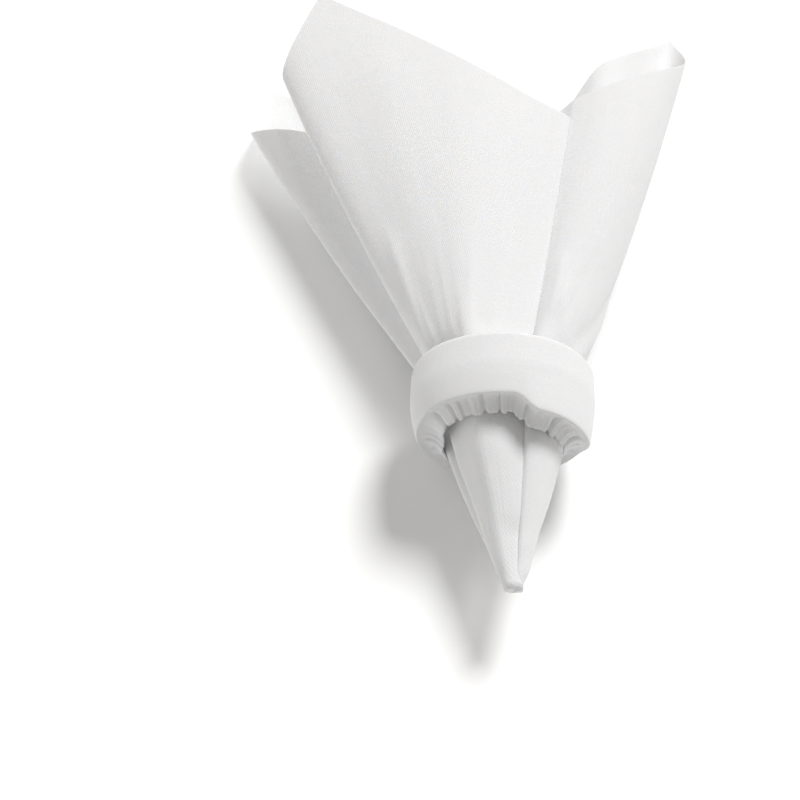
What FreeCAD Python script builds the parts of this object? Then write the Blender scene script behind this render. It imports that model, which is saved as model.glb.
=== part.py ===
import FreeCAD
import Part
import bisect
import functools
import math
import os

# A square paper napkin, pulled up at its middle and pushed tail first through a ring of folded
# paper. The axis of the ring runs along Y: the tail points to -Y and the flare opens to +Y.
# The origin is on the floor under the middle of the ring, on its flat spot. Lengths in millimetres.

# The sheet
SHEET_SIDE = 406.0
SHEET_THICKNESS = 0.5

# The ring: a band folded over on itself, slimmer towards the tail, whose bore follows the napkin
RING_LENGTH = 28.0
RING_WALL = 5.0
RING_TAPER = 2.6
RING_CROWN_Y = 1.0
RING_EDGE_ROUND = 2.2
RING_FLAT_DEPTH = 0.5
RING_CLEARANCE = 0.3

# The gathered napkin inside the ring, and the flare at the plane where its outline is drawn
BUNDLE_RADIUS = 31.5
FLARE_PLANE_Y = 190.0
FLARE_LEFT = 129.0
FLARE_RIGHT = 83.0
FLARE_HEIGHT = 70.0
FLARE_LIFT = 0.5
FLARE_BULGE = 0.22

# The gathered napkin is turned a little about the ring's axis, most at this angle, in degrees
TWIST_ANGLE = 26.0
TWIST_MIDDLE = 108.0
TWIST_REACH = 125.0

# The tail: its tip, the paper folded into it, and its half width at each station up to the ring
TIP_Y = -80.0
TIP_X = 4.6
TIP_Z = 33.0
TIP_FOLDED_IN = 5.0
TAIL_STATIONS = [(-80.0, 2.4), (-77.0, 4.2), (-69.0, 7.4), (-58.0, 11.0), (-44.0, 16.2), (-28.0, 21.6)]
TAIL_FLATNESS = 0.87
NECK_RADIUS = 25.5
PLEATS_START_Y = -72.0
CLOSED_Y = -52.0
HOLLOW_START_Y = -37.0

# How finely the surfaces are drawn
STEPS_PER_SPAN = 2
FLARE_ROWS = 4
ROUND_STEPS = 3
ANGLE_STEPS = 4
ANGLE_PLANE_Y = 150.0

# The outline of the flare in its plane, as (x, z), walked from under the right lobe to the left.
# Each lobe holds one corner of the sheet, and its corner is the numbered point of its arc.
RIGHT_LOBE = [(43, 38), (57, 32), (73, 11), (83, 30), (84, 47), (74, 59), (57, 61), (43, 54)]
TOP_PANEL = [(38, 55), (24, 62), (-8, 69), (-40, 66), (-80, 59), (-102, 55), (-110, 44)]
LEFT_LOBE = [(-113, 31), (-122, 26), (-130, 16), (-124, 4), (-101, 0), (-90, 3)]
UNDER_LOBE = [(-80, 3), (-66, 0), (-48, 0), (-20, 0), (10, 0), (34, 2)]
CORNER_POINTS = [2, 4, 4, 2]

# The deep pleat after each lobe, one for the middle of each edge of the sheet: where it bends,
# where it ends, and how wide it is at its mouth and at its fold
PLEATS = [
    {"bend": (30, 40), "end": (-58, 44), "mouth": 4.0, "fold": 4.0},
    {"bend": (-60, 34), "end": (34, 33), "mouth": 6.0, "fold": 4.0},
    {"bend": (-78, 26), "end": (24, 24), "mouth": 6.0, "fold": 4.0},
    {"bend": (20, 10), "end": (-60, 10), "mouth": 4.0, "fold": 4.0},
]
PLEAT_POINTS = 4
SHALLOW_PLEAT = 0.25
LOBES = [RIGHT_LOBE, TOP_PANEL, LEFT_LOBE, UNDER_LOBE]

HALF_RING = RING_LENGTH / 2
BORE_RADIUS = BUNDLE_RADIUS + SHEET_THICKNESS / 2 + RING_CLEARANCE
FRONT_BORE_RADIUS = NECK_RADIUS + SHEET_THICKNESS / 2 + RING_CLEARANCE
RING_RADIUS = BORE_RADIUS + RING_WALL
AXIS_Z = RING_RADIUS - RING_FLAT_DEPTH
FLARE_HALF_WIDTH = (FLARE_LEFT + FLARE_RIGHT) / 2
FLARE_MIDDLE_X = (FLARE_RIGHT - FLARE_LEFT) / 2
FLARE_HALF_HEIGHT = FLARE_HEIGHT / 2


def between(p, q, share):
    """The point that lies a share of the way from p to q."""
    return (p[0] + (q[0] - p[0]) * share, p[1] + (q[1] - p[1]) * share)


def pleat_line(mouth, pleat, share):
    """A point on the middle line of a pleat, a quadratic curve from its mouth over its bend to its end."""
    first = between(mouth, pleat["bend"], share)
    second = between(pleat["bend"], pleat["end"], share)
    return between(first, second, share)


def wall_point(step, start, finish, pleat, depth):
    """A control point of a pleat's walls: the first half of the steps goes in beside the lobe that
    it follows, the other half comes back out. A shallow pleat ends in a plain stretch of outline."""
    mouth = between(start, finish, 0.5)
    down = (pleat["bend"][0] - mouth[0], pleat["bend"][1] - mouth[1])
    side = 1 if down[0] * (start[1] - mouth[1]) - down[1] * (start[0] - mouth[0]) > 0 else -1
    level = step + 1 if step < PLEAT_POINTS else 2 * PLEAT_POINTS - step
    if step >= PLEAT_POINTS:
        side = -side
    share = depth * level / PLEAT_POINTS
    here = pleat_line(mouth, pleat, share)
    before = pleat_line(mouth, pleat, share - 0.01)
    run = math.dist(here, before)
    across = ((before[1] - here[1]) / run, (here[0] - before[0]) / run)
    half = side * (pleat["mouth"] + (pleat["fold"] - pleat["mouth"]) * level / PLEAT_POINTS) / 2
    wall = (here[0] + half * across[0], here[1] + half * across[1])
    plain = between(start, finish, (step + 1) / (2 * PLEAT_POINTS + 1))
    return between(plain, wall, min(1.0, depth / SHALLOW_PLEAT))


@functools.lru_cache(maxsize=None)
def outline_points(depth):
    """The control points of the whole closed outline, with its pleats at a share of their depth."""
    points = []
    for number, lobe in enumerate(LOBES):
        following = LOBES[(number + 1) % len(LOBES)]
        points += lobe
        for step in range(2 * PLEAT_POINTS):
            points.append(wall_point(step, lobe[-1], following[0], PLEATS[number], depth))
    return points


def outline_marks():
    """The places along the outline of the sheet's corners, of the middles of its edges, which lie in
    the folds of the pleats, and of the two sides of each pleat's mouth."""
    corners = []
    middles = []
    first = 0
    for lobe, corner in zip(LOBES, CORNER_POINTS):
        corners.append(first + corner)
        middles.append(first + len(lobe) + PLEAT_POINTS - 0.5)
        first += len(lobe) + 2 * PLEAT_POINTS
    return corners, middles, first


CORNERS, MIDDLES, COUNT = outline_marks()


def spline_weights(share):
    """The four weights of a uniform cubic B-spline inside one span."""
    rest = 1 - share
    return (
        rest**3 / 6,
        (3 * share**3 - 6 * share**2 + 4) / 6,
        (3 * rest**3 - 6 * rest**2 + 4) / 6,
        share**3 / 6,
    )


def unit_point(place, depth):
    """The outline's point at a place, in units of its half width and half height, with its pleats at
    a share of their depth. A place may run past the whole turn."""
    points = outline_points(depth)
    span = math.floor(place)
    x = 0.0
    z = 0.0
    for offset, weight in enumerate(spline_weights(place - span)):
        point = points[(span - 1 + offset) % COUNT]
        x += weight * point[0]
        z += weight * point[1]
    return ((x - FLARE_MIDDLE_X) / FLARE_HALF_WIDTH, (z - FLARE_HALF_HEIGHT) / FLARE_HALF_HEIGHT)


def smooth(share):
    """A share held between 0 and 1, with a soft start and a soft end."""
    share = max(0.0, min(1.0, share))
    return share * share * (3 - 2 * share)


def rounded(point):
    """A point of the unit square carried into the unit disc, the square's sides onto the circle, and
    turned by the twist."""
    a, b = point
    a = max(-1.0, min(1.0, a))
    b = max(-1.0, min(1.0, b))
    x = a * math.sqrt(1 - b * b / 2)
    z = b * math.sqrt(1 - a * a / 2)
    angle = math.atan2(z, x)
    away = abs(math.degrees(angle) - TWIST_MIDDLE)
    angle += math.radians(TWIST_ANGLE) * smooth(1 - min(away, 360 - away) / TWIST_REACH)
    size = math.hypot(x, z)
    return (size * math.cos(angle), size * math.sin(angle))


def tail_size(y):
    """The bundle's half width, half height and centre at y. In the ring it is round and centred."""
    stations = TAIL_STATIONS + [(-HALF_RING, NECK_RADIUS), (HALF_RING, BUNDLE_RADIUS)]
    number = 0
    while number < len(stations) - 2 and y > stations[number + 1][0]:
        number += 1
    (y0, w0), (y1, w1) = stations[number], stations[number + 1]
    width = w0 + (w1 - w0) * (y - y0) / (y1 - y0)
    along = min(1.0, (y - TIP_Y) / (-HALF_RING - TIP_Y))
    squash = TAIL_FLATNESS + (1 - TAIL_FLATNESS) * along
    return width, width * squash, TIP_X * (1 - along), TIP_Z + (AXIS_Z - TIP_Z) * along


def pleat_depth(y):
    """The pleats' depth as a share: none near the tip, whole from the front of the ring on."""
    return smooth((y - PLEATS_START_Y) / (-HALF_RING - PLEATS_START_Y))


def section_point(place, y):
    """The sheet's middle surface: the point at a place of the outline in the plane at y. Behind the
    ring a ray leaves a little bowed and runs out straight."""
    unit = unit_point(place, pleat_depth(y))
    size_y = min(y, HALF_RING)
    width, height, centre_x, centre_z = tail_size(size_y)
    disc = rounded(unit)
    x = centre_x + width * disc[0]
    z = centre_z + height * disc[1]
    if y > HALF_RING:
        share = (y - HALF_RING) / (FLARE_PLANE_Y - HALF_RING)
        share += FLARE_BULGE * share * (1 - share)
        x += share * (FLARE_MIDDLE_X + FLARE_HALF_WIDTH * unit[0] - x)
        z += share * (FLARE_LIFT + FLARE_HALF_HEIGHT + FLARE_HALF_HEIGHT * unit[1] - z)
    return (x, z)


def skin_point(place, y, side):
    """A point of one skin, half the sheet's thickness to a side of the middle surface. Near the tip,
    which is paper all through, the outside comes down to the outline itself."""
    x, z = section_point(place, y)
    before = section_point(place - 0.05, y)
    after = section_point(place + 0.05, y)
    run = math.dist(before, after)
    out_x = (after[1] - before[1]) / run
    out_z = (before[0] - after[0]) / run
    half = side * SHEET_THICKNESS / 2 * min(1.0, max(0.0, (y - CLOSED_Y) / (HOLLOW_START_Y - CLOSED_Y)))
    return FreeCAD.Vector(x + half * out_x, y, z + half * out_z)


def ray_length(place, y):
    """The length of the sheet's ray at a place, from the middle of the sheet to the plane at y."""
    length = TAIL_STATIONS[0][1] + TIP_FOLDED_IN
    rows = tail_rows(TIP_Y) + [HALF_RING + (y - HALF_RING) * row / FLARE_ROWS for row in range(1, FLARE_ROWS + 1)]
    for y0, y1 in zip(rows, rows[1:]):
        length += math.hypot(y1 - y0, math.dist(section_point(place, y0), section_point(place, y1)))
    return length


def turn_between(start, finish):
    """How far the sheet turns about its middle from place to place, if it lies smooth, in degrees."""
    length = math.dist(section_point(start, ANGLE_PLANE_Y), section_point(finish, ANGLE_PLANE_Y))
    return math.degrees(length / ray_length((start + finish) / 2, ANGLE_PLANE_Y))


def sector_angles(corner, middle, corner_angle, direction):
    """The sheet's angle at each place from a corner into the pleat beside it. A lobe takes what its
    length needs, and the pleat shares out what is left up to the middle of the sheet's edge."""
    steps = round(abs(middle - corner) * ANGLE_STEPS)
    places = [corner + (middle - corner) * step / steps for step in range(steps + 1)]
    mouth = middle - direction * (PLEAT_POINTS + 0.5)
    turns = [0.0]
    for start, finish in zip(places, places[1:]):
        turns.append(turns[-1] + turn_between(start, finish))
    at_mouth = min(range(len(places)), key=lambda number: abs(places[number] - mouth))
    in_lobe = turns[at_mouth]
    stretch = (45 - in_lobe) / (turns[-1] - in_lobe)
    laid = [turn if turn < in_lobe else in_lobe + (turn - in_lobe) * stretch for turn in turns]
    return [(place, corner_angle + direction * turn) for place, turn in zip(places, laid)]


def sheet_angles():
    """Pairs of place and direction on the flat sheet: corners at 45, 135, 225 and 315 degrees."""
    pairs = []
    for number, corner in enumerate(CORNERS):
        pleat_before = MIDDLES[number - 1] if number > 0 else MIDDLES[-1] - COUNT
        angle = 90 * number - 45
        pairs += sector_angles(corner, pleat_before, angle, -1)[:0:-1]
        pairs += sector_angles(corner, MIDDLES[number], angle, 1)[:-1]
    first_place, first_angle = pairs[0]
    pairs.append((first_place + COUNT, first_angle + 360))
    return pairs


ANGLES = []


def angle_at(place):
    """The direction on the flat sheet at a place, between the worked out pairs."""
    if not ANGLES:
        ANGLES.extend(sheet_angles())
    if place < ANGLES[0][0]:
        return angle_at(place + COUNT) - 360
    if place >= ANGLES[-1][0]:
        return angle_at(place - COUNT) + 360
    number = bisect.bisect_right(ANGLES, (place, math.inf)) - 1
    (p0, a0), (p1, a1) = ANGLES[number], ANGLES[number + 1]
    return a0 + (a1 - a0) * (place - p0) / (p1 - p0)


def rim_y(place):
    """Where the ray of the sheet at a place reaches the sheet's edge."""
    turn = math.radians(angle_at(place))
    sheet_length = SHEET_SIDE / 2 / max(abs(math.cos(turn)), abs(math.sin(turn)))
    used = ray_length(place, ANGLE_PLANE_Y)
    slope = (ray_length(place, FLARE_PLANE_Y) - used) / (FLARE_PLANE_Y - ANGLE_PLANE_Y)
    return ANGLE_PLANE_Y + (sheet_length - used) / slope


def tail_rows(first_y):
    """The planes of the poles from first_y to the back of the ring."""
    rows = [station[0] for station in TAIL_STATIONS if station[0] > first_y]
    return [first_y] + rows + [-HALF_RING, 0.0, HALF_RING]


def skin(side, first_y):
    """The points of one skin: for each place along the outline, its ray of the sheet, from first_y
    through the ring and on to the sheet's edge."""
    rays = []
    for step in range(COUNT * STEPS_PER_SPAN):
        place = step / STEPS_PER_SPAN
        end_y = rim_y(place)
        rows = tail_rows(first_y)
        rows += [HALF_RING + (end_y - HALF_RING) * row / FLARE_ROWS for row in range(1, FLARE_ROWS + 1)]
        rays.append([skin_point(place, y, side) for y in rows])
    return rays


def facet(corners):
    """A flat face on three or more points, given in order."""
    return Part.Face(Part.makePolygon(corners + corners[:1]))


def facets_between(ray, following):
    """The flat triangles between two neighbouring rays."""
    triangles = []
    for (a, b), (c, d) in zip(zip(ray, ray[1:]), zip(following, following[1:])):
        triangles += [facet([a, b, c]), facet([c, b, d])]
    return triangles


def napkin():
    """The sheet as one solid: two skins, the strip along its cut edge, and the crumpled tip, which
    is paper all through."""
    outer = skin(1, TIP_Y)
    inner = skin(-1, HOLLOW_START_Y)
    cut_edge = [[out[-1], back[-1]] for out, back in zip(outer, inner)]
    faces = [facet([ray[0] for ray in rays]) for rays in (outer, inner)]
    for rays in (outer, inner, cut_edge):
        for ray, following in zip(rays, rays[1:] + rays[:1]):
            faces += facets_between(ray, following)
    shell = Part.Shell(faces)
    shell.sewShape()
    solid = Part.Solid(Part.Shell(shell.Faces))
    if solid.Volume < 0:
        solid.reverse()
    return solid


def softened(corners, radius):
    """A closed profile with each corner turned in short chords of a round of this radius."""
    points = []
    for number, corner in enumerate(corners):
        before = (corners[number - 1] - corner).normalize()
        after = (corners[(number + 1) % len(corners)] - corner).normalize()
        if abs(before.dot(after)) > 0.9:
            points.append(corner)
            continue
        for step in range(ROUND_STEPS + 1):
            turn = math.pi / 2 * step / ROUND_STEPS
            points.append(corner + before * radius * (1 - math.sin(turn)) + after * radius * (1 - math.cos(turn)))
    return points


def ring():
    """The band: a revolved profile with a softly crowned outside, on its flat spot."""
    corners = [
        FreeCAD.Vector(FRONT_BORE_RADIUS, -HALF_RING, 0),
        FreeCAD.Vector(RING_RADIUS - RING_TAPER, -HALF_RING, 0),
        FreeCAD.Vector(RING_RADIUS, RING_CROWN_Y, 0),
        FreeCAD.Vector(RING_RADIUS, HALF_RING, 0),
        FreeCAD.Vector(BORE_RADIUS, HALF_RING, 0),
    ]
    profile = facet(softened(corners, RING_EDGE_ROUND))
    band = profile.revolve(FreeCAD.Vector(), FreeCAD.Vector(0, 1, 0), 360)
    band.translate(FreeCAD.Vector(0, 0, AXIS_Z))
    below = Part.makeBox(4 * RING_RADIUS, 4 * RING_LENGTH, RING_RADIUS)
    below.translate(FreeCAD.Vector(-2 * RING_RADIUS, -2 * RING_LENGTH, -RING_RADIUS))
    return band.cut(below).Solids[0]


os.makedirs("parts", exist_ok=True)
for name, shape in (("napkin", napkin()), ("napkin_ring", ring())):
    shape.exportStep("parts/" + name + ".step")
    box = shape.BoundBox
    print(name, shape.ShapeType, "valid", shape.isValid(), "volume", round(shape.Volume, 1),
          "area", round(shape.Area), "x", round(box.XMin, 1), round(box.XMax, 1),
          "y", round(box.YMin, 1), round(box.YMax, 1), "z", round(box.ZMin, 2), round(box.ZMax, 1))
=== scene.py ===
# %% [markdown]
# # A paper napkin gathered in a ring
#
# A square sheet of soft paper is pulled up at its middle and pushed, tail first, through a ring of
# folded paper. Its four corners flare out behind the ring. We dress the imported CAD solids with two
# pieces: the sheet itself, one continuous surface, and the padded band around it.
#
# Every straight line from the sheet's middle to its edge stays as long as it was on the flat
# sheet, and that alone gives the flare its pointed lobes. Lengths around the sheet are only near:
# the outer flare is about a tenth too long, locally more, and from the ring to the tip they fall
# short on the whole, which stands for gathers too fine to model.

# %% Load the frame
import bpy
import numpy as np
from mathutils import Matrix


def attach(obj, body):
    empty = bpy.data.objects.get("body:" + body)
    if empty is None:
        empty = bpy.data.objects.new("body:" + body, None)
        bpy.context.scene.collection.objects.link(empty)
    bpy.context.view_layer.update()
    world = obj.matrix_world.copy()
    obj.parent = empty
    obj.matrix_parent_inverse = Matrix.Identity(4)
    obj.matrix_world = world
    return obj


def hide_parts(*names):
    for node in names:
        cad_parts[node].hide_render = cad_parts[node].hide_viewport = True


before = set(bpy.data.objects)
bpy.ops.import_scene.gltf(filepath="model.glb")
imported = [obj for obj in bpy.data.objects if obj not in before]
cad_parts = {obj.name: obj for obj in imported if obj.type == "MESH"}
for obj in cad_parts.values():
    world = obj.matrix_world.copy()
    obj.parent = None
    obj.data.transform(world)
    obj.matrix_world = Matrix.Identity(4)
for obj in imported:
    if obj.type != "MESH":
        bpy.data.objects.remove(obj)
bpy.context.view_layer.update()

# %% [markdown]
# ## The outline of the flare
#
# We work in millimetres, as the CAD does, and turn to metres when a mesh is made. The flare's
# outline is drawn once, in a plane 190 mm behind the middle of the ring. It is a closed B-spline
# through four lobes, one for each corner of the sheet, with a deep pleat between neighbours.

# %% Measures shared with the CAD solids
MM = 0.001
SHEET_SIDE = 406.0
SHEET_THICKNESS = 0.25
RING_LENGTH = 28.0
RING_WALL = 5.0
RING_TAPER = 2.6
RING_CROWN_Y = 1.0
RING_EDGE_ROUND = 1.8
RING_FLAT_DEPTH = 0.5
BUNDLE_RADIUS = 31.5
BORE_RADIUS = 32.05
FRONT_BORE_RADIUS = 26.05
FRONT_BORE_ROUND = 0.8
FRONT_FULLNESS = 6.0
FRONT_LIP = 3.0
FRONT_HOLLOW = 3.5
FLARE_PLANE_Y = 190.0
FLARE_LEFT = 129.0
FLARE_RIGHT = 83.0
FLARE_HEIGHT = 70.0
FLARE_LIFT = 0.5
TIP_Y = -80.0
TIP_X = 4.6
TIP_Z = 33.0
TAIL_STATIONS = [(-80.0, 1.9), (-77.0, 3.5), (-69.0, 7.2), (-58.0, 11.0), (-44.0, 16.2), (-28.0, 21.6)]
TAIL_STATIONS = np.array([*TAIL_STATIONS, (-14.0, 25.5), (14.0, 31.5)])
TAIL_FLATNESS = 0.87
PLEATS_START_Y = -72.0
TIP_FOLDED_IN = 6.0
FLARE_BULGE = 0.22
TWIST_ANGLE = 31.0
TWIST_MIDDLE = 108.0
TWIST_REACH = 125.0
ANGLE_PLANE_Y = 150.0

RIGHT_LOBE = [(43, 38), (57, 32), (73, 11), (83, 30), (84, 47), (74, 59), (57, 61)]
RIGHT_LOBE = [*RIGHT_LOBE, (44, 58), (38, 55.8), (36, 55.2)]
TOP_PANEL = [(39.5, 55.8), (34.5, 59.2), (22, 62.5), (-8, 69), (-40, 66), (-80, 59), (-102, 55), (-110, 44)]
LEFT_LOBE = [(-113, 31), (-122, 26), (-130, 16), (-124, 4), (-101, 0), (-90, 3)]
UNDER_LOBE = [(-80, 3), (-66, 0), (-48, 0), (-20, 0), (10, 0), (34, 2)]
LOBES = [RIGHT_LOBE, TOP_PANEL, LEFT_LOBE, UNDER_LOBE]
CORNER_POINTS = [2, 5, 4, 2]
PLEATS = [
    {"bend": (30, 40), "end": (-58, 44), "mouth": 0.6, "fold": 3.0},
    {"bend": (-60, 34), "end": (34, 33), "mouth": 2.0, "fold": 4.0},
    {"bend": (-78, 26), "end": (24, 24), "mouth": 4.0, "fold": 4.0},
    {"bend": (20, 10), "end": (-60, 10), "mouth": 4.0, "fold": 4.0},
]
PLEAT_POINTS = 4
SHALLOW_PLEAT = 0.25

HALF_RING = RING_LENGTH / 2
RING_RADIUS = BORE_RADIUS + RING_WALL
AXIS_Z = RING_RADIUS - RING_FLAT_DEPTH
FLARE_MIDDLE = np.array([(FLARE_RIGHT - FLARE_LEFT) / 2, FLARE_HEIGHT / 2])
FLARE_HALF = np.array([(FLARE_LEFT + FLARE_RIGHT) / 2, FLARE_HEIGHT / 2])
COUNT = sum(len(lobe) + 2 * PLEAT_POINTS for lobe in LOBES)
print("control points along the outline", COUNT, "ring radius", RING_RADIUS, "axis height", AXIS_Z)

# %% [markdown]
# A pleat is two walls beside a curved middle line. Its depth is a share from 0 to 1, because the
# pleats grow from nothing at the tail's tip to their whole depth at the ring. We work out the
# control points for many depths at once.


# %% The control points
def smoothstep(t):
    """3 t^2 - 2 t^3 for t held between 0 and 1."""
    t = np.clip(t, 0, 1)
    return t * t * (3 - 2 * t)


def pleat_line(mouth, pleat, share):
    """Quadratic curve (1-s)^2 M + 2 s (1-s) B + s^2 E from the mouth M over the bend B to the end E."""
    s = np.asarray(share)[..., None]
    return (1 - s) ** 2 * mouth + 2 * s * (1 - s) * np.array(pleat["bend"]) + s * s * np.array(pleat["end"])


def wall_points(start, finish, pleat, depth):
    """The control points of a pleat's walls for every depth: in along one side and out along the other.
    A wall point is line(s) plus or minus half the width, at right angles to the line."""
    start = np.array(start, float)
    finish = np.array(finish, float)
    mouth = (start + finish) / 2
    down = np.array(pleat["bend"]) - mouth
    toward = start - mouth
    first_side = 1.0 if down[0] * toward[1] - down[1] * toward[0] > 0 else -1.0
    steps = np.arange(2 * PLEAT_POINTS)
    level = np.where(steps < PLEAT_POINTS, steps + 1, 2 * PLEAT_POINTS - steps)
    side = np.where(steps < PLEAT_POINTS, first_side, -first_side)
    share = depth[:, None] * level / PLEAT_POINTS
    here = pleat_line(mouth, pleat, share)
    run = here - pleat_line(mouth, pleat, share - 0.01)
    run /= np.linalg.norm(run, axis=-1, keepdims=True)
    across = np.stack([-run[..., 1], run[..., 0]], axis=-1)
    half = side * (pleat["mouth"] + (pleat["fold"] - pleat["mouth"]) * level / PLEAT_POINTS) / 2
    wall = here + half[:, None] * across
    plain = start + (finish - start) * ((steps + 1) / (2 * PLEAT_POINTS + 1))[:, None]
    blend = np.minimum(1, depth / SHALLOW_PLEAT)[:, None, None]
    return plain + (wall - plain) * blend


def control_points(depth):
    """All control points of the closed outline for every depth, as an array depth by point by (x, z)."""
    depth = np.atleast_1d(np.asarray(depth, float))
    parts = []
    for number, lobe in enumerate(LOBES):
        following = LOBES[(number + 1) % len(LOBES)]
        parts.append(np.broadcast_to(np.array(lobe, float), (len(depth), len(lobe), 2)))
        parts.append(wall_points(lobe[-1], following[0], PLEATS[number], depth))
    return np.concatenate(parts, axis=1)


def spline_matrix(places):
    """Weights of a closed uniform cubic B-spline. With t the share of a span, the four points around
    it weigh (1-t)^3/6, (3t^3-6t^2+4)/6, (3(1-t)^3-6(1-t)^2+4)/6 and t^3/6."""
    span = np.floor(places).astype(int)
    t = places - span
    r = 1 - t
    weights = [r**3 / 6, (3 * t**3 - 6 * t**2 + 4) / 6, (3 * r**3 - 6 * r**2 + 4) / 6, t**3 / 6]
    matrix = np.zeros((len(places), COUNT))
    for offset, weight in enumerate(weights):
        matrix[np.arange(len(places)), (span - 1 + offset) % COUNT] += weight
    return matrix


def pleat_depth(y):
    """No pleats near the tip, whole pleats from the front of the ring on."""
    return smoothstep((y - PLEATS_START_Y) / (-HALF_RING - PLEATS_START_Y))


def unit_outline(places, y):
    """The outline at each place and each y, in units of the flare's half width and half height."""
    points = np.einsum("pc,ycd->pyd", spline_matrix(places), control_points(pleat_depth(y)))
    return (points - FLARE_MIDDLE) / FLARE_HALF


print("outline at full depth", np.round(control_points(1.0)[0, :3], 1).tolist())

# %% [markdown]
# ## From the outline to the sheet
#
# Inside the ring the same outline is squeezed into a disc, and the tail narrows from there to its
# tip. Behind the ring each ray of the sheet runs straight out to its point in the flare's plane.


# %% The gathered surface without its small folds
def rounded(unit):
    """Square to disc: (a, b) goes to (a sqrt(1 - b^2/2), b sqrt(1 - a^2/2))."""
    a, b = np.moveaxis(np.clip(unit, -1, 1), -1, 0)
    x = a * np.sqrt(1 - b * b / 2)
    z = b * np.sqrt(1 - a * a / 2)
    turned = np.arctan2(z, x)
    away = np.abs(np.degrees(turned) - TWIST_MIDDLE)
    twist = np.radians(TWIST_ANGLE) * smoothstep(1 - np.minimum(away, 360 - away) / TWIST_REACH)
    size = np.hypot(x, z)
    return np.stack([size * np.cos(turned + twist), size * np.sin(turned + twist)], axis=-1)


def tail_points(places, y):
    """The sheet between the tip and the back of the ring: disc point times half size, plus the centre."""
    width = np.interp(y, TAIL_STATIONS[:, 0], TAIL_STATIONS[:, 1])
    along = np.minimum(1, (y - TIP_Y) / (-HALF_RING - TIP_Y))
    height = width * (TAIL_FLATNESS + (1 - TAIL_FLATNESS) * along)
    size = np.stack([width, height], axis=-1)
    centre = np.stack([TIP_X * (1 - along), TIP_Z + (AXIS_Z - TIP_Z) * along], axis=-1)
    return centre + size * rounded(unit_outline(places, y))


def flare_points(places, y):
    """The sheet behind the ring, y given for each place and row, from the ring to the flare's plane.
    With t the share of the way, a ray spreads by t + b t (1 - t): it leaves the ring a little bowed."""
    at_ring = tail_points(places, np.array([HALF_RING]))
    far = FLARE_MIDDLE + FLARE_HALF * unit_outline(places, np.array([0.0])) + np.array([0, FLARE_LIFT])
    share = ((y - HALF_RING) / (FLARE_PLANE_Y - HALF_RING))[..., None]
    return at_ring + (share + FLARE_BULGE * share * (1 - share)) * (far - at_ring)


def lengths_to(places, y):
    """The length of each ray from the middle of the sheet, through the tail, to the plane at y."""
    rows = np.array([*TAIL_STATIONS[:-1, 0], 0.0, HALF_RING])
    tail = tail_points(places, rows)
    steps = np.hypot(np.diff(rows), np.linalg.norm(np.diff(tail, axis=1), axis=-1))
    flare_rows = np.linspace(HALF_RING, y, 9)
    flare = flare_points(places, np.broadcast_to(flare_rows, (len(places), 9)))
    beyond = np.hypot(np.diff(flare_rows), np.linalg.norm(np.diff(flare, axis=1), axis=-1))
    return TAIL_STATIONS[0, 1] + TIP_FOLDED_IN + steps.sum(axis=1) + beyond.sum(axis=1)


def sheet_turns(places_per_span):
    """The direction on the flat sheet, in radians, at each place along the outline. From a corner each
    lobe takes the angle arc length / ray length. The pleats share what is left up to the middle of
    the sheet's edge, 45 degrees from the corner."""
    places = np.arange(COUNT * places_per_span + 1) / places_per_span
    points = flare_points(places, np.full((len(places), 1), ANGLE_PLANE_Y))[:, 0]
    arc = np.linalg.norm(np.diff(points, axis=0), axis=-1)
    ray = lengths_to(places, ANGLE_PLANE_Y)
    turned = np.concatenate([[0], np.cumsum(arc / ((ray[1:] + ray[:-1]) / 2))])
    knots = []
    first = 0
    for number, lobe in enumerate(LOBES):
        corner = first + CORNER_POINTS[number]
        middle = first + len(lobe) + PLEAT_POINTS - 0.5
        knots.append((corner, middle, number))
        first += len(lobe) + 2 * PLEAT_POINTS
    pairs = []
    for corner, middle, number in knots:
        before = knots[number - 1][1] - (COUNT if number == 0 else 0)
        for fold, direction in ((before, -1), (middle, 1)):
            at = np.linspace(corner, fold, 97)
            wrapped = np.interp(at % COUNT, places, turned) + turned[-1] * np.floor(at / COUNT)
            turns = np.abs(wrapped - wrapped[0])
            mouth = np.interp(PLEAT_POINTS + 0.5, abs(fold - at)[::-1], turns[::-1])
            stretch = (np.pi / 4 - mouth) / (turns[-1] - mouth)
            turns = np.where(turns < mouth, turns, mouth + (turns - mouth) * stretch)
            pairs.append((at[:-1], np.radians(90 * number - 45) + direction * turns[:-1]))
    at = np.concatenate([pair[0] for pair in pairs])
    turn = np.concatenate([pair[1] for pair in pairs])
    order = np.argsort(at)
    at = np.concatenate([at[order] - COUNT, at[order], at[order] + COUNT])
    turn = np.concatenate([turn[order] - 2 * np.pi, turn[order], turn[order] + 2 * np.pi])
    return lambda wanted: np.interp(wanted, at, turn)


PLACES_PER_SPAN = 12
places = np.arange(COUNT * PLACES_PER_SPAN) / PLACES_PER_SPAN
theta = sheet_turns(PLACES_PER_SPAN)(places)
full_length = SHEET_SIDE / 2 / np.maximum(np.abs(np.cos(theta)), np.abs(np.sin(theta)))
used = lengths_to(places, ANGLE_PLANE_Y)
slope = (lengths_to(places, FLARE_PLANE_Y) - used) / (FLARE_PLANE_Y - ANGLE_PLANE_Y)
rim_y = ANGLE_PLANE_Y + (full_length - used) / slope
print("rays", len(places), "rim from y", round(rim_y.min(), 1), "to", round(rim_y.max(), 1))

# %% [markdown]
# Now the grid: one row of vertices for each ring of the sheet. The tail has fine rows near its
# crumpled tip, and in the flare the rows end at the sheet's own edge.

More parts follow.
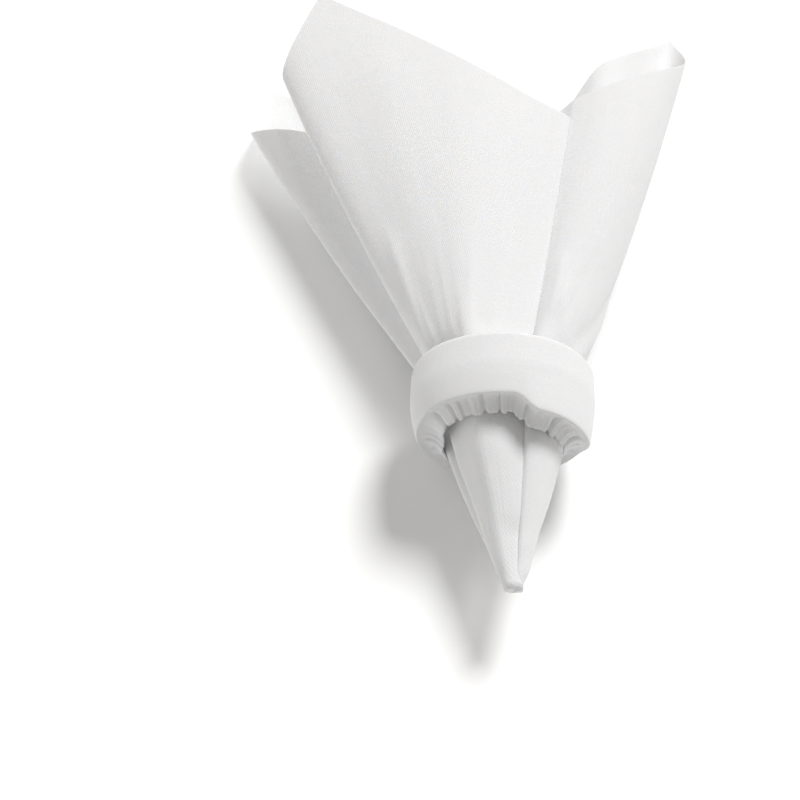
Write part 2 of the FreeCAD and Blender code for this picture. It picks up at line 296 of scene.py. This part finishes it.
# %% The grid of points
TAIL_ROWS = 26
FLARE_ROWS = 40
tail_y = TIP_Y + (HALF_RING - TIP_Y) * np.linspace(0, 1, TAIL_ROWS) ** 1.15
tail = tail_points(places, tail_y)
grid = np.empty((len(places), TAIL_ROWS + FLARE_ROWS, 3))
grid[:, :TAIL_ROWS, 0] = tail[..., 0]
grid[:, :TAIL_ROWS, 1] = tail_y
grid[:, :TAIL_ROWS, 2] = tail[..., 1]
flare_share = np.linspace(0, 1, FLARE_ROWS + 1)[1:]
flare_y = HALF_RING + (rim_y - HALF_RING)[:, None] * flare_share
flare = flare_points(places, flare_y)
grid[:, TAIL_ROWS:, 0] = flare[..., 0]
grid[:, TAIL_ROWS:, 1] = flare_y
grid[:, TAIL_ROWS:, 2] = flare[..., 1]
steps = np.linalg.norm(np.diff(grid, axis=1), axis=-1)
rho = TAIL_STATIONS[0, 1] + np.concatenate([np.zeros((len(places), 1)), np.cumsum(steps, axis=1)], axis=1)
print("grid", grid.shape, "longest ray", round(rho.max(), 1))

# %% [markdown]
# ## Small folds
#
# Paper that is squeezed into a ring keeps small gathers, sharpest at the ring and fading outwards.
# We push the surface along its normal by a height over the flat sheet: theta is the direction from
# the middle of the sheet and rho the distance from it.


# %% Gathers and crumples
def normals_of(points):
    """Unit normals of a grid whose first axis closes on itself: the cross product of its two tangents."""
    around = np.roll(points, -1, axis=0) - np.roll(points, 1, axis=0)
    along = np.gradient(points, axis=1)
    normal = np.cross(around, along)
    return normal / np.maximum(np.linalg.norm(normal, axis=-1, keepdims=True), 1e-9)


def ridge(distance, width):
    """A soft crease across a fold line: 1 / (1 + (s / w)^2)."""
    return 1 / (1 + (distance / width) ** 2)


def fold(theta, rho, line):
    """One crease along a line on the flat sheet, from (theta, rho) at its inner end to its outer end. Its
    height is window(rho) times ridge(rho (theta - line)), with theta in radians and the rest in mm."""
    theta_in, theta_out, rho_in, rho_out, height, width = line
    share = np.clip((rho - rho_in) / (rho_out - rho_in), 0, 1)
    off = np.degrees(theta)[:, None] - (theta_in + (theta_out - theta_in) * share)
    off = (off + 180) % 360 - 180
    ease = 0.5 * (rho_out - rho_in)
    window = smoothstep((rho - rho_in + ease) / ease) * smoothstep((rho_out + ease - rho) / ease)
    return height * window * ridge(rho * np.radians(off), width)


def small_creases(theta, rho, count=110, seed=6):
    """Short creases all round, that start in the ring and run out a few centimetres at the most."""
    source = np.random.default_rng(seed)
    total = np.zeros_like(rho)
    for _ in range(count):
        start = source.uniform(-180, 180)
        drift = source.uniform(-1.5, 1.5)
        reach = 104 + source.uniform(8, 55) * source.uniform(0.3, 1)
        height = source.choice([-1, 1]) * source.uniform(0.12, 0.42)
        total += fold(theta, rho, (start, start + drift, 92, reach, height, source.uniform(0.8, 2.4)))
    return total


def gathers(theta, rho, seed=4):
    """Waves around the sheet, sum of a cos(n theta + p), that fade with the distance from the ring."""
    source = np.random.default_rng(seed)
    height = np.zeros_like(rho)
    for count in (26, 37, 52, 71, 97):
        phase = source.uniform(0, 2 * np.pi)
        drift = source.uniform(-0.012, 0.012)
        reach = 2600 / count
        fade = np.exp(-np.maximum(rho - 100, 0) / reach)
        height += 5.0 / count * fade * np.cos(count * theta[:, None] + phase + drift * (rho - 100))
    return height


def crumple(points, wavelength, seed):
    """Ridged noise between 0 and 1: the mean of 1 - |sin(k . p + q)| over a few directions."""
    source = np.random.default_rng(seed)
    height = np.zeros(points.shape[:-1])
    for _ in range(6):
        direction = source.normal(size=3)
        direction *= np.pi / wavelength / np.linalg.norm(direction)
        height += 1 - np.abs(np.sin(points @ direction + source.uniform(0, np.pi)))
    return height / 6


FOLDS = [
    (42.0, 41.0, 122, 225, -2.2, 15.0),
    (47.5, 46.0, 104, 150, -1.6, 4.0),
    (27.0, 26.0, 112, 230, 1.6, 16.0),
    (8.0, 12.0, 104, 170, -0.8, 6.0),
    (-34.2, -32.2, 104, 126, -0.9, 1.3),
    (-31.2, -30.4, 121, 138, -0.9, 2.6),
    (-36.0, -40.5, 104, 138, 1.0, 1.6),
    (-38.0, -42.5, 104, 134, -0.9, 1.4),
    (62.0, 66.0, 104, 160, -0.7, 3.0),
    (125.0, 128.0, 104, 200, 0.8, 5.0),
    (26.0, 24.0, 9, 24, 1.2, 6.0),
    (42.0, 40.0, 5, 24, -1.1, 3.0),
    (10.0, 14.0, 4, 16, -0.8, 2.5),
    (60.0, 54.0, 5, 30, -0.7, 2.5),
]
TIP_CRUMPLE = 2.2
TAIL_CRUMPLE = 0.5
normal = normals_of(grid)
ring_free = smoothstep((np.abs(grid[..., 1]) - HALF_RING) / 10)
in_flare = grid[..., 1] > 0
height = np.where(in_flare, gathers(theta, rho) + small_creases(theta, rho), 0) * ring_free
height = height + sum(fold(theta, rho, line) for line in FOLDS) * ring_free
near_tip = smoothstep((TIP_Y + 26 - grid[..., 1]) / 20)
height = height + near_tip * TIP_CRUMPLE * (crumple(grid, 10.0, 3) - 0.6)
tail_part = np.where(in_flare, 0, ring_free)
height = height + tail_part * TAIL_CRUMPLE * (crumple(grid * np.array([1, 0.25, 1]), 11.0, 8) - 0.6)
sheet_grid = grid + normal * height[..., None]
sheet_grid[..., 2] = np.maximum(sheet_grid[..., 2], SHEET_THICKNESS)
print("small folds from", round(height.min(), 2), "to", round(height.max(), 2), "mm")


# %% [markdown]
# ## Meshes from grids
#
# A grid becomes quads with one array operation. The first axis closes on itself. UV coordinates
# are set for every face corner, in metres on the flat sheet, so the emboss keeps about its true size.


# %% Mesh tools
def grid_faces(around, along):
    """Quads (i, j), (i+1, j), (i+1, j+1), (i, j+1) of a grid that closes along its first axis."""
    i, j = np.meshgrid(np.arange(around), np.arange(along - 1), indexing="ij")
    k = (i + 1) % around
    corners = [i * along + j, k * along + j, k * along + j + 1, i * along + j + 1]
    return np.stack([c.ravel() for c in corners], axis=-1)


def build_mesh(name, points, faces, uv, crisp=None):
    """A mesh from points in millimetres, a list of faces and a UV pair in metres for every vertex. The
    edges between the vertices numbered in crisp stay sharp."""
    mesh = bpy.data.meshes.new(name)
    mesh.from_pydata((points * MM).tolist(), [], faces)
    mesh.shade_smooth()
    if crisp is not None:
        crease = mesh.attributes.new("sharp_edge", "BOOLEAN", "EDGE")
        ends = np.empty(2 * len(mesh.edges), dtype=np.int32)
        mesh.edges.foreach_get("vertices", ends)
        crease.data.foreach_set("value", np.isin(ends, crisp).reshape(-1, 2).all(axis=1))
    layer = mesh.uv_layers.new(name="flat_sheet")
    index = np.empty(len(mesh.loops), dtype=np.int32)
    mesh.loops.foreach_get("vertex_index", index)
    layer.data.foreach_set("uv", uv[index].astype(np.float32).ravel())
    mesh.validate()
    piece = bpy.data.objects.new(name, mesh)
    bpy.context.scene.collection.objects.link(piece)
    return piece


rows = TAIL_ROWS + FLARE_ROWS
points = sheet_grid.reshape(-1, 3)
flat = np.stack([rho * np.cos(theta)[:, None], rho * np.sin(theta)[:, None]], axis=-1).reshape(-1, 2) * MM
tip = sheet_grid[:, 0].mean(axis=0) - np.array([0, 0.8, 0])
points = np.vstack([points, tip])
flat = np.vstack([flat, [[0, 0]]])
quads = grid_faces(len(places), rows).tolist()
ends = np.arange(len(places))
fan = np.stack([np.full(len(ends), len(points) - 1), np.roll(ends, -1) * rows, ends * rows], axis=-1).tolist()
rim = ends * rows + rows - 1
sheet = build_mesh("napkin_sheet", points, quads + fan, flat, rim)
print("sheet vertices", len(points), "faces", len(quads) + len(fan))

# %% [markdown]
# The mesh is the middle of the paper. A modifier gives it its thickness, half to either side.

# %% The sheet's thickness and its place on the frame
solidify = sheet.modifiers.new("thickness", "SOLIDIFY")
solidify.thickness = SHEET_THICKNESS * MM
solidify.offset = 0
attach(sheet, "root")
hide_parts("napkin")
print("sheet", SHEET_THICKNESS, "mm thick, in place of the napkin solid")

# %% [markdown]
# ## The ring
#
# The band is the same paper, folded over on itself into a soft collar. Its profile is a closed
# curve swept around the axis. The paper at its front end is gathered onto the tail.


# %% The band's profile
def rounded_profile(corners, radii, steps=6):
    """The corners of a closed profile, each replaced by points on a quarter turn of its own radius."""
    corners = np.array(corners, float)
    points = []
    for number, (corner, radius) in enumerate(zip(corners, radii)):
        before = corners[number - 1] - corner
        after = corners[(number + 1) % len(corners)] - corner
        before /= np.linalg.norm(before)
        after /= np.linalg.norm(after)
        if abs(before @ after) > 0.9:
            points.append(corner[None])
            continue
        turn = np.linspace(0, np.pi / 2, steps)[:, None]
        points.append(corner + before * radius * (1 - np.sin(turn)) + after * radius * (1 - np.cos(turn)))
    return np.vstack(points)


def resampled(points, count):
    """Evenly spaced points along a closed profile, first at its first corner."""
    closed = np.vstack([points, points[:1]])
    run = np.concatenate([[0], np.cumsum(np.linalg.norm(np.diff(closed, axis=0), axis=-1))])
    wanted = np.linspace(0, run[-1], count, endpoint=False)
    even = np.stack([np.interp(wanted, run, closed[:, 0]), np.interp(wanted, run, closed[:, 1])], axis=-1)
    return even, wanted


RING_STEPS = 540
PROFILE_STEPS = 84
outer_y = np.linspace(-HALF_RING, RING_CROWN_Y, 8)
outer_radius = RING_RADIUS - RING_TAPER * ((RING_CROWN_Y - outer_y) / (RING_CROWN_Y + HALF_RING)) ** 1.6
band_corners = [
    (FRONT_BORE_RADIUS, -HALF_RING),
    *zip(outer_radius, outer_y),
    (RING_RADIUS - 0.4, HALF_RING),
    (BORE_RADIUS, HALF_RING),
]
band_radii = [FRONT_BORE_ROUND] + [RING_EDGE_ROUND] * (len(band_corners) - 1)
profile, profile_run = resampled(rounded_profile(band_corners, band_radii), PROFILE_STEPS)
turn = np.linspace(0, 2 * np.pi, RING_STEPS, endpoint=False)
degrees = (np.degrees(turn) + 90) % 360 - 90
radius = np.broadcast_to(profile[:, 0], (RING_STEPS, PROFILE_STEPS)).copy()
band_y = np.broadcast_to(profile[:, 1], (RING_STEPS, PROFILE_STEPS)).copy()
front_wall = float(outer_radius[0]) - FRONT_BORE_RADIUS
print("profile points", len(profile), "front wall", round(front_wall, 1), "mm")

# %% [markdown]
# The front face is full of creases that run towards the axis. It is hollow between the band's rim
# and the lip that lies on the tail. The rim also stands further out on the right side, where the
# fold is fuller, and on the left the lip is tucked in where a pleat leaves the tail room.

# %% Creases and fullness of the band
PUCKER_COUNTS = (23, 38, 61)
PUCKER_DEPTH = 1.6
LIP_SLOPE = 0.28
TUCK_AT = 180
TUCK_WIDTH = 14
TUCK_DEPTH = 2.2
front = smoothstep((-HALF_RING + 6 - band_y) / 6)
inner = smoothstep((outer_radius[0] - 1.0 - radius) / 5.0)
source = np.random.default_rng(11)
wander = turn + 0.10 * np.sin(3 * turn + 1.0) + 0.05 * np.sin(7 * turn + 2.0)
pucker = np.zeros(RING_STEPS)
for count in PUCKER_COUNTS:
    pucker += 22.0 / count * np.abs(np.sin(count * wander / 2 + source.uniform(0, np.pi)))
pucker = (pucker - pucker.mean())[:, None]
fuller = smoothstep((82 - degrees) / 18) * smoothstep((degrees + 30) / 40)
lip = FRONT_LIP * (1 - 0.6 * fuller[:, None]) * front * smoothstep((outer_radius[0] - radius) / 8)
depth = np.clip((outer_radius[0] - radius) / 8, 0, 1)
hollow = 4 * depth * (1 - depth) * front
band_y = band_y - front * inner * pucker * PUCKER_DEPTH + FRONT_HOLLOW * hollow - lip
radius = radius + front * inner * ((pucker.max() - pucker) * 0.12 - 0.4) - LIP_SLOPE * lip
tuck = np.exp(-(((degrees - TUCK_AT) / TUCK_WIDTH) ** 2))[:, None]
radius = radius - TUCK_DEPTH * tuck * front * inner
band_y = band_y - FRONT_FULLNESS * fuller[:, None] * smoothstep(-(band_y + 2) / 11)
radius = radius - 0.3 * FRONT_FULLNESS * fuller[:, None] * front * inner
for count in (3, 5, 8):
    radius = radius + (0.5 / count * np.cos(count * turn + source.uniform(0, 2 * np.pi)))[:, None]
ring_grid = np.stack(
    [radius * np.cos(turn)[:, None], band_y, AXIS_Z + radius * np.sin(turn)[:, None]], axis=-1
)
ring_grid[..., 2] = np.maximum(ring_grid[..., 2], 0)
ring_points = ring_grid.reshape(-1, 3)
ring_flat = np.stack(
    np.broadcast_arrays(turn[:, None] * RING_RADIUS, profile_run[None, :]), axis=-1
).reshape(-1, 2) * MM
i, j = np.meshgrid(np.arange(RING_STEPS), np.arange(PROFILE_STEPS), indexing="ij")
k = (i + 1) % RING_STEPS
m = (j + 1) % PROFILE_STEPS
here, there = i * PROFILE_STEPS, k * PROFILE_STEPS
closed_faces = np.stack([c.ravel() for c in (here + j, here + m, there + m, there + j)], axis=-1).tolist()
band = build_mesh("ring_band", ring_points, closed_faces, ring_flat)
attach(band, "root")
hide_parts("napkin_ring")
print("band vertices", len(ring_points), "puckers up to", round(float(np.ptp(pucker)), 2), "mm")

# %% [markdown]
# ## Paper
#
# The emboss is a node group that both materials use: a fine linen weave pressed into the paper,
# over soft fibres. It puts out a height for a Bump node and a mask for the colour.


# %% The linen emboss
EMBOSS_PITCH = 0.0011


def linen_group():
    """Height = sin(2 pi u / pitch) sin(2 pi v / pitch) on the flat sheet, with some fibre noise."""
    group = bpy.data.node_groups.new("LinenEmboss", "ShaderNodeTree")
    group.interface.new_socket("Flat", in_out="INPUT", socket_type="NodeSocketVector")
    pitch = group.interface.new_socket("Pitch", in_out="INPUT", socket_type="NodeSocketFloat")
    pitch.default_value = EMBOSS_PITCH
    group.interface.new_socket("Height", in_out="OUTPUT", socket_type="NodeSocketFloat")
    group.interface.new_socket("Fibre", in_out="OUTPUT", socket_type="NodeSocketFloat")
    nodes, links = group.nodes, group.links
    given = nodes.new("NodeGroupInput")
    result = nodes.new("NodeGroupOutput")
    wobble = nodes.new("ShaderNodeTexNoise")
    wobble.inputs["Scale"].default_value = 90
    wobble.inputs["Detail"].default_value = 2
    links.new(given.outputs["Flat"], wobble.inputs["Vector"])
    centred = nodes.new("ShaderNodeVectorMath")
    centred.operation = "MULTIPLY_ADD"
    centred.inputs[1].default_value = (0.002, 0.002, 0)
    links.new(wobble.outputs["Color"], centred.inputs[0])
    links.new(given.outputs["Flat"], centred.inputs[2])
    scaled = nodes.new("ShaderNodeVectorMath")
    scaled.operation = "DIVIDE"
    links.new(centred.outputs["Vector"], scaled.inputs[0])
    links.new(given.outputs["Pitch"], scaled.inputs[1])
    turns = nodes.new("ShaderNodeVectorMath")
    turns.operation = "SCALE"
    turns.inputs["Scale"].default_value = 2 * np.pi
    links.new(scaled.outputs["Vector"], turns.inputs[0])
    wave = nodes.new("ShaderNodeVectorMath")
    wave.operation = "SINE"
    links.new(turns.outputs["Vector"], wave.inputs[0])
    split = nodes.new("ShaderNodeSeparateXYZ")
    links.new(wave.outputs["Vector"], split.inputs["Vector"])
    weave = nodes.new("ShaderNodeMath")
    weave.operation = "MULTIPLY"
    links.new(split.outputs["X"], weave.inputs[0])
    links.new(split.outputs["Y"], weave.inputs[1])
    fibre = nodes.new("ShaderNodeTexNoise")
    fibre.inputs["Scale"].default_value = 900
    fibre.inputs["Detail"].default_value = 4
    fibre.inputs["Roughness"].default_value = 0.6
    links.new(given.outputs["Flat"], fibre.inputs["Vector"])
    total = nodes.new("ShaderNodeMath")
    total.operation = "MULTIPLY_ADD"
    total.inputs[1].default_value = 0.5
    links.new(weave.outputs["Value"], total.inputs[0])
    links.new(fibre.outputs["Fac"], total.inputs[2])
    links.new(total.outputs["Value"], result.inputs["Height"])
    links.new(fibre.outputs["Fac"], result.inputs["Fibre"])
    return group


linen = linen_group()
print("node group", linen.name, "with", len(linen.nodes), "nodes")

# %% [markdown]
# The crinkles that run out from the ring are noise whose coordinates are the direction on the
# sheet and, much shortened, the distance from its middle, so they come out long and thin.


# %% The two papers
CRINKLES_ACROSS = 14


def paper(name, group, colour, crinkle, lets_through):
    """Soft white paper: linen emboss and long crinkles as bumps, and a faint cloudiness in the colour."""
    material = bpy.data.materials.new(name)
    material.use_nodes = True
    nodes, links = material.node_tree.nodes, material.node_tree.links
    shader = nodes["Principled BSDF"]
    shader.inputs["Roughness"].default_value = 0.85
    shader.inputs["Specular IOR Level"].default_value = 0.25
    shader.inputs["Sheen Weight"].default_value = 0.15
    shader.inputs["Sheen Roughness"].default_value = 0.5
    shader.inputs["Subsurface Weight"].default_value = 1.0
    shader.inputs["Subsurface Radius"].default_value = (1.0, 0.96, 0.9)
    shader.inputs["Subsurface Scale"].default_value = 0.0003
    path = nodes.new("ShaderNodeLightPath")
    opacity = nodes.new("ShaderNodeMath")
    opacity.operation = "MULTIPLY_ADD"
    opacity.inputs[1].default_value = -lets_through
    opacity.inputs[2].default_value = 1
    links.new(path.outputs["Is Shadow Ray"], opacity.inputs[0])
    if lets_through > 0:
        links.new(opacity.outputs["Value"], shader.inputs["Alpha"])
    where = nodes.new("ShaderNodeUVMap")
    where.uv_map = "flat_sheet"
    emboss = nodes.new("ShaderNodeGroup")
    emboss.node_tree = group
    emboss.inputs["Pitch"].default_value = EMBOSS_PITCH
    links.new(where.outputs["UV"], emboss.inputs["Flat"])
    direction = nodes.new("ShaderNodeVectorMath")
    direction.operation = "NORMALIZE"
    distance = nodes.new("ShaderNodeVectorMath")
    distance.operation = "LENGTH"
    links.new(where.outputs["UV"], direction.inputs[0])
    links.new(where.outputs["UV"], distance.inputs[0])
    flat_direction = nodes.new("ShaderNodeSeparateXYZ")
    links.new(direction.outputs["Vector"], flat_direction.inputs["Vector"])
    polar = nodes.new("ShaderNodeCombineXYZ")
    links.new(flat_direction.outputs["X"], polar.inputs["X"])
    links.new(flat_direction.outputs["Y"], polar.inputs["Y"])
    links.new(distance.outputs["Value"], polar.inputs["Z"])
    noise = nodes.new("ShaderNodeTexNoise")
    noise.inputs["Scale"].default_value = CRINKLES_ACROSS
    noise.inputs["Detail"].default_value = 3
    links.new(polar.outputs["Vector"], noise.inputs["Vector"])
    crinkles = nodes.new("ShaderNodeBump")
    crinkles.inputs["Strength"].default_value = crinkle
    crinkles.inputs["Distance"].default_value = 0.001
    links.new(noise.outputs["Fac"], crinkles.inputs["Height"])
    weave = nodes.new("ShaderNodeBump")
    weave.inputs["Strength"].default_value = 0.6
    weave.inputs["Distance"].default_value = 0.00015
    links.new(emboss.outputs["Height"], weave.inputs["Height"])
    links.new(crinkles.outputs["Normal"], weave.inputs["Normal"])
    links.new(weave.outputs["Normal"], shader.inputs["Normal"])
    tone = nodes.new("ShaderNodeMix")
    tone.data_type = "RGBA"
    tone.inputs["A"].default_value = (*[c * 0.96 for c in colour], 1)
    tone.inputs["B"].default_value = (*colour, 1)
    links.new(emboss.outputs["Fibre"], tone.inputs["Factor"])
    links.new(tone.outputs["Result"], shader.inputs["Base Color"])
    return material


napkin_paper = paper("napkin_paper_white", linen, (0.845, 0.845, 0.85), crinkle=0.5, lets_through=0.72)
ring_paper = paper("ring_paper_white", linen, (0.83, 0.83, 0.835), crinkle=0.0, lets_through=0)
sheet.data.materials.append(napkin_paper)
band.data.materials.append(ring_paper)
print("materials", napkin_paper.name, ring_paper.name)

# %% [markdown]
# ## Floor, light and camera
#
# A white floor that light just burns out, one soft key light from the upper right and behind, and
# a faint, wide one from the left with a pale world for the fill. The camera looks down at 29
# degrees from the vertical, from far off.

# %% Stage
floor_mesh = bpy.data.meshes.new("floor")
floor_mesh.from_pydata([(-6, -6, 0), (6, -6, 0), (6, 6, 0), (-6, 6, 0)], [], [(0, 1, 2, 3)])
floor = bpy.data.objects.new("floor", floor_mesh)
bpy.context.scene.collection.objects.link(floor)
floor_material = bpy.data.materials.new("floor_white")
floor_material.use_nodes = True
floor_shader = floor_material.node_tree.nodes["Principled BSDF"]
floor_shader.inputs["Base Color"].default_value = (1, 1, 1, 1)
floor_shader.inputs["Roughness"].default_value = 0.9
floor_shader.inputs["Specular IOR Level"].default_value = 0.0
floor_mesh.materials.append(floor_material)



def far_lamp(name, strength, spread, toward):
    """A sun lamp of the given spread in degrees whose light comes from the direction toward."""
    data = bpy.data.lights.new(name, "SUN")
    data.energy = strength
    data.angle = np.radians(spread)
    lamp = bpy.data.objects.new(name, data)
    from_top = np.arctan2(np.hypot(toward[0], toward[1]), toward[2])
    lamp.rotation_euler = (from_top, 0, np.arctan2(toward[0], -toward[1]))
    bpy.context.scene.collection.objects.link(lamp)


far_lamp("key", 2.45, 18, (0.345, 0.468, 0.813))
far_lamp("fill", 0.35, 80, (-0.75, -0.1, 0.65))

world = bpy.data.worlds.new("studio")
bpy.context.scene.world = world
world.use_nodes = True
sky = world.node_tree.nodes["Background"]
sky.inputs["Color"].default_value = (1, 0.985, 0.96, 1)
sky.inputs["Strength"].default_value = 0.34
bpy.context.scene.view_settings.view_transform = "Standard"

CAMERA_TILT = 29
CAMERA_DISTANCE = 1.587
AIM_ASIDE = -0.0417
AIM_UP = 0.0209
camera_data = bpy.data.cameras.new("camera")
camera_data.lens = 174.6
camera_data.sensor_width = 36
camera = bpy.data.objects.new("camera", camera_data)
tilt = np.radians(CAMERA_TILT)
place = np.array([0, -np.sin(tilt), np.cos(tilt)]) * CAMERA_DISTANCE
aim = np.array([AIM_ASIDE, AIM_UP * np.cos(tilt), AIM_UP * np.sin(tilt)])
forward = (aim - place) / np.linalg.norm(aim - place)
right = np.cross(forward, [0, np.cos(tilt), np.sin(tilt)])
right /= np.linalg.norm(right)
frame_axes = np.eye(4)
frame_axes[:3, 0] = right
frame_axes[:3, 1] = np.cross(right, forward)
frame_axes[:3, 2] = -forward
frame_axes[:3, 3] = place
camera.matrix_world = Matrix(frame_axes.tolist())
bpy.context.scene.collection.objects.link(camera)
bpy.context.scene.camera = camera
print("camera at", np.round(place, 4).tolist(), "aimed at", np.round(aim, 4).tolist())
